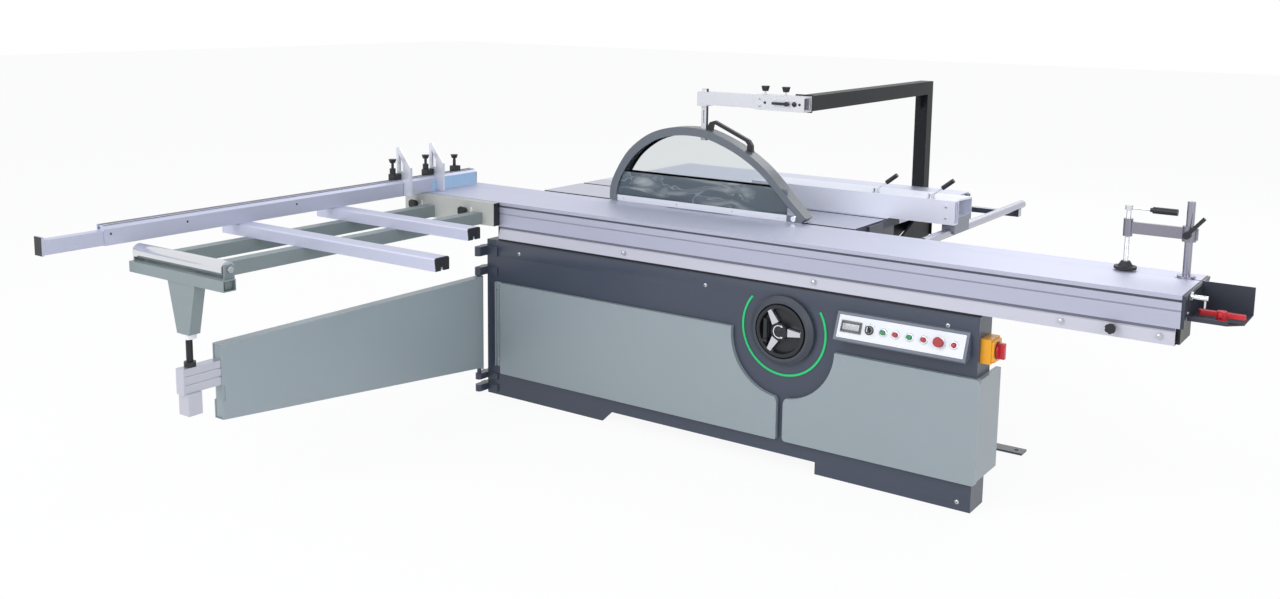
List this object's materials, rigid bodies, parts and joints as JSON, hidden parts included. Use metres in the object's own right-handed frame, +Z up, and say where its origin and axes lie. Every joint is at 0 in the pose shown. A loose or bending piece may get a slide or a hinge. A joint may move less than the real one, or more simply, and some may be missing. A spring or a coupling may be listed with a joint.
{
  "type": "sliding table panel saw",
  "caption": "Sliding-table panel saw: long carriage with swing-arm outrigger, crosscut fence, rip fence, overhead guard, tilting saw unit and front controls.",
  "frame": {"origin": "floor level at the centre of the four floor anchor holes; the blade plane is Y = 0", "axes": "+X along the sliding table to the operator's end, +Y from the sliding table to the rip side, +Z up"},
  "size_m": [3.425, 3.431, 1.3895],
  "materials": {
    "charcoal_paint": "satin powder coat",
    "panel_paint": "satin powder coat",
    "green_trim": "gloss film",
    "black_plastic": "fine texture",
    "white_plate": "satin film",
    "console_grey": "satin",
    "aluminium": "extruded, anodised",
    "cast_top": "ground",
    "steel": "brushed",
    "chrome": "polished",
    "dark_paint": "satin powder coat",
    "guard_grey": "moulded",
    "clear_window": "clear polycarbonate",
    "red_plastic": "moulded",
    "green_plastic": "moulded",
    "yellow_plastic": "moulded",
    "unit_paint": "primer",
    "frame_paint": "satin powder coat",
    "box_paint": "satin powder coat",
    "blade_steel": "ground"
  },
  "bodies": {
    "cabinet": {"cabinet_shell": "charcoal_paint", "front_panels": "panel_paint", "green_arc": "green_trim", "wheel_bezel": "black_plastic", "console_bezel": "console_grey", "control_plate": "white_plate", "isolator_body": "yellow_plastic", "slide_beam": "aluminium", "beam_supports": "dark_paint", "main_table": "cast_top", "extension_table": "aluminium", "rip_rail": "steel", "guard_post": "dark_paint", "hanger_sleeve": "aluminium", "hinge_lugs": "dark_paint", "trunnions": "unit_paint"},
    "carriage": {"sliding_table": "aluminium", "clamp_post": "chrome", "out_box": "box_paint", "out_frame": "frame_paint", "support_rails": "aluminium"},
    "wing_handle": {"wing_handle": "red_plastic"},
    "table_lock": {"table_lock": "black_plastic"},
    "clamp_bar": {"clamp_bar": "steel"},
    "clamp_lever": {"clamp_lever": "black_plastic"},
    "clamp_pad": {"clamp_pad": "black_plastic"},
    "clamp_spindle": {"clamp_spindle": "chrome"},
    "out_knob_1": {"out_knob_1": "black_plastic"},
    "out_knob_2": {"out_knob_2": "black_plastic"},
    "roller": {"roller": "chrome"},
    "crosscut_fence": {"crosscut_fence": "aluminium"},
    "fence_tail": {"fence_tail": "aluminium"},
    "stop_1": {"stop_block_1": "steel"},
    "stop_2": {"stop_block_2": "steel"},
    "flag_1": {"stop_flag_1": "aluminium"},
    "flag_2": {"stop_flag_2": "aluminium"},
    "swing_arm": {"arm_outer": "panel_paint"},
    "inner_arm": {"arm_inner": "aluminium"},
    "hanger": {"hanger_tube": "aluminium"},
    "hood": {"guard_hood": "guard_grey", "guard_window": "clear_window"},
    "hanger_lever": {"hanger_lever": "black_plastic"},
    "rip_fence": {"rip_fence": "aluminium"},
    "rip_lever_1": {"rip_lever_1": "chrome"},
    "rip_lever_2": {"rip_lever_2": "chrome"},
    "saw_frame": {"saw_frame": "unit_paint"},
    "saw_carrier": {"arbor_block": "unit_paint", "saw_motor": "unit_paint"},
    "main_blade": {"main_blade": "blade_steel"},
    "score_blade": {"score_blade": "blade_steel"},
    "handwheel": {"handwheel": "black_plastic"},
    "wheel_grip": {"wheel_grip": "black_plastic"},
    "isolator_knob": {"isolator_knob": "red_plastic"},
    "selector": {"selector_knob": "black_plastic"},
    "estop": {"estop_button": "red_plastic"},
    "button_1": {"button_1": "green_plastic"},
    "button_2": {"button_2": "red_plastic"},
    "button_3": {"button_3": "green_plastic"},
    "button_4": {"button_4": "red_plastic"}
  },
  "joints": [
    {"name": "table_slide", "type": "slide", "parent": "cabinet", "child": "carriage", "axis": [1, 0, 0], "range_m": [-1.5, 1.35]},
    {"name": "wing_turn", "type": "hinge", "parent": "carriage", "child": "wing_handle", "pos_m": [1.822, -0.282, 0.776], "axis": [0, 0, 1], "range_deg": [-90, 90]},
    {"name": "table_lock_turn", "type": "hinge", "parent": "cabinet", "child": "table_lock", "pos_m": [1.528, -0.374, 0.731], "axis": [0, -1, 0], "range_deg": [-180, 180]},
    {"name": "clamp_height", "type": "slide", "parent": "carriage", "child": "clamp_bar", "axis": [0, 0, 1], "range_m": [0, 0.07]},
    {"name": "clamp_ratchet", "type": "hinge", "parent": "clamp_bar", "child": "clamp_lever", "pos_m": [1.677, -0.13, 1.004], "axis": [0, -1, 0], "range_deg": [-60, 60]},
    {"name": "clamp_feed", "type": "slide", "parent": "clamp_bar", "child": "clamp_pad", "axis": [0, 0, 1], "range_m": [-0.005, 0.02]},
    {"name": "clamp_crank", "type": "hinge", "parent": "clamp_pad", "child": "clamp_spindle", "pos_m": [1.488, -0.1, 0.96], "axis": [0, 0, 1], "range_deg": [-75, 290]},
    {"name": "out_knob_1_turn", "type": "hinge", "parent": "carriage", "child": "out_knob_1", "pos_m": [-1.46, -0.412, 0.814], "axis": [0, -1, 0], "range_deg": [-180, 180]},
    {"name": "out_knob_2_turn", "type": "hinge", "parent": "carriage", "child": "out_knob_2", "pos_m": [-1.166, -0.412, 0.814], "axis": [0, -1, 0], "range_deg": [-180, 180]},
    {"name": "roller_spin", "type": "hinge", "parent": "carriage", "child": "roller", "pos_m": [-1.394, -1.824, 0.833], "axis": [1, 0, 0], "continuous": true},
    {"name": "fence_swivel", "type": "hinge", "parent": "carriage", "child": "crosscut_fence", "pos_m": [-1.454, -0.393, 0.86], "axis": [0, 0, 1], "range_deg": [-45, 45]},
    {"name": "fence_extend", "type": "slide", "parent": "crosscut_fence", "child": "fence_tail", "axis": [0, -1, 0], "range_m": [0, 0.8]},
    {"name": "stop_1_slide", "type": "slide", "parent": "crosscut_fence", "child": "stop_1", "axis": [0, 1, 0], "range_m": [-0.12, 0.1]},
    {"name": "stop_2_slide", "type": "slide", "parent": "crosscut_fence", "child": "stop_2", "axis": [0, 1, 0], "range_m": [-1.3, 0.12]},
    {"name": "flag_1_flip", "type": "hinge", "parent": "stop_1", "child": "flag_1", "pos_m": [-1.459, -0.313, 0.9473], "axis": [0, -1, 0], "range_deg": [0, 95]},
    {"name": "flag_2_flip", "type": "hinge", "parent": "stop_2", "child": "flag_2", "pos_m": [-1.459, -0.513, 0.9473], "axis": [0, -1, 0], "range_deg": [0, 95]},
    {"name": "arm_swing", "type": "hinge", "parent": "cabinet", "child": "swing_arm", "pos_m": [-1.1115, -0.393, 0.3], "axis": [0, 0, 1], "range_deg": [-50, 50]},
    {"name": "arm_telescope", "type": "slide", "parent": "swing_arm", "child": "inner_arm", "axis": [0, -1, 0], "range_m": [0, 0.65]},
    {"name": "hanger_slide", "type": "slide", "parent": "cabinet", "child": "hanger", "axis": [1, 0, 0], "range_m": [-0.15, 0.1]},
    {"name": "hood_lift", "type": "slide", "parent": "hanger", "child": "hood", "axis": [0, 0, 1], "range_m": [0, 0.05]},
    {"name": "hanger_lever_turn", "type": "hinge", "parent": "cabinet", "child": "hanger_lever", "pos_m": [0.1745, -0.03, 1.326], "axis": [0, -1, 0], "range_deg": [-40, 60]},
    {"name": "rip_slide", "type": "slide", "parent": "cabinet", "child": "rip_fence", "axis": [0, 1, 0], "range_m": [-0.25, 0.65]},
    {"name": "rip_lever_1_turn", "type": "hinge", "parent": "rip_fence", "child": "rip_lever_1", "pos_m": [0.3925, 0.345, 0.9553], "axis": [0, 0, 1], "range_deg": [-60, 60]},
    {"name": "rip_lever_2_turn", "type": "hinge", "parent": "rip_fence", "child": "rip_lever_2", "pos_m": [0.6295, 0.345, 0.9553], "axis": [0, 0, 1], "range_deg": [-60, 60]},
    {"name": "tilt", "type": "hinge", "parent": "cabinet", "child": "saw_frame", "pos_m": [0, 0, 0.86], "axis": [-1, 0, 0], "range_deg": [0, 45]},
    {"name": "blade_rise", "type": "slide", "parent": "saw_frame", "child": "saw_carrier", "axis": [0, 0, 1], "range_m": [-0.075, 0.05]},
    {"name": "main_spin", "type": "hinge", "parent": "saw_carrier", "child": "main_blade", "pos_m": [-0.2065, 0, 0.72], "axis": [0, 1, 0], "continuous": true},
    {"name": "score_spin", "type": "hinge", "parent": "saw_frame", "child": "score_blade", "pos_m": [0.0835, 0, 0.8025], "axis": [0, 1, 0], "continuous": true},
    {"name": "handwheel_turn", "type": "hinge", "parent": "cabinet", "child": "handwheel", "pos_m": [0.3615, -0.351, 0.524], "axis": [0, -1, 0], "range_deg": [-1090, 730]},
    {"name": "grip_fold", "type": "hinge", "parent": "handwheel", "child": "wheel_grip", "pos_m": [0.3035, -0.385, 0.482], "axis": [1, 0, 0], "range_deg": [0, 90]},
    {"name": "isolator_turn", "type": "hinge", "parent": "cabinet", "child": "isolator_knob", "pos_m": [1.1415, -0.289, 0.568], "axis": [1, 0, 0], "range_deg": [0, 90]},
    {"name": "selector_turn", "type": "hinge", "parent": "cabinet", "child": "selector", "pos_m": [0.71352, -0.37989, 0.58529], "axis": [0, -0.9272, 0.3746], "range_deg": [-45, 45]},
    {"name": "button_1_press", "type": "slide", "parent": "cabinet", "child": "button_1", "axis": [0, 0.9272, -0.3746], "range_m": [0, 0.003], "stiffness_N_per_m": 400},
    {"name": "button_2_press", "type": "slide", "parent": "cabinet", "child": "button_2", "axis": [0, 0.9272, -0.3746], "range_m": [0, 0.003], "stiffness_N_per_m": 400},
    {"name": "button_3_press", "type": "slide", "parent": "cabinet", "child": "button_3", "axis": [0, 0.9272, -0.3746], "range_m": [0, 0.003], "stiffness_N_per_m": 400},
    {"name": "button_4_press", "type": "slide", "parent": "cabinet", "child": "button_4", "axis": [0, 0.9272, -0.3746], "range_m": [0, 0.003], "stiffness_N_per_m": 400},
    {"name": "estop_press", "type": "slide", "parent": "cabinet", "child": "estop", "axis": [0, 0.9272, -0.3746], "range_m": [0, 0.005], "stiffness_N_per_m": 500}
  ],
  "couplings": [
    {"joint": "arm_swing", "follows": "table_slide", "rad_per_m": 0.57},
    {"joint": "clamp_crank", "follows": "clamp_feed", "rad_per_m": 251.3},
    {"joint": "handwheel_turn", "follows": "blade_rise", "rad_per_m": 251.3}
  ]
}
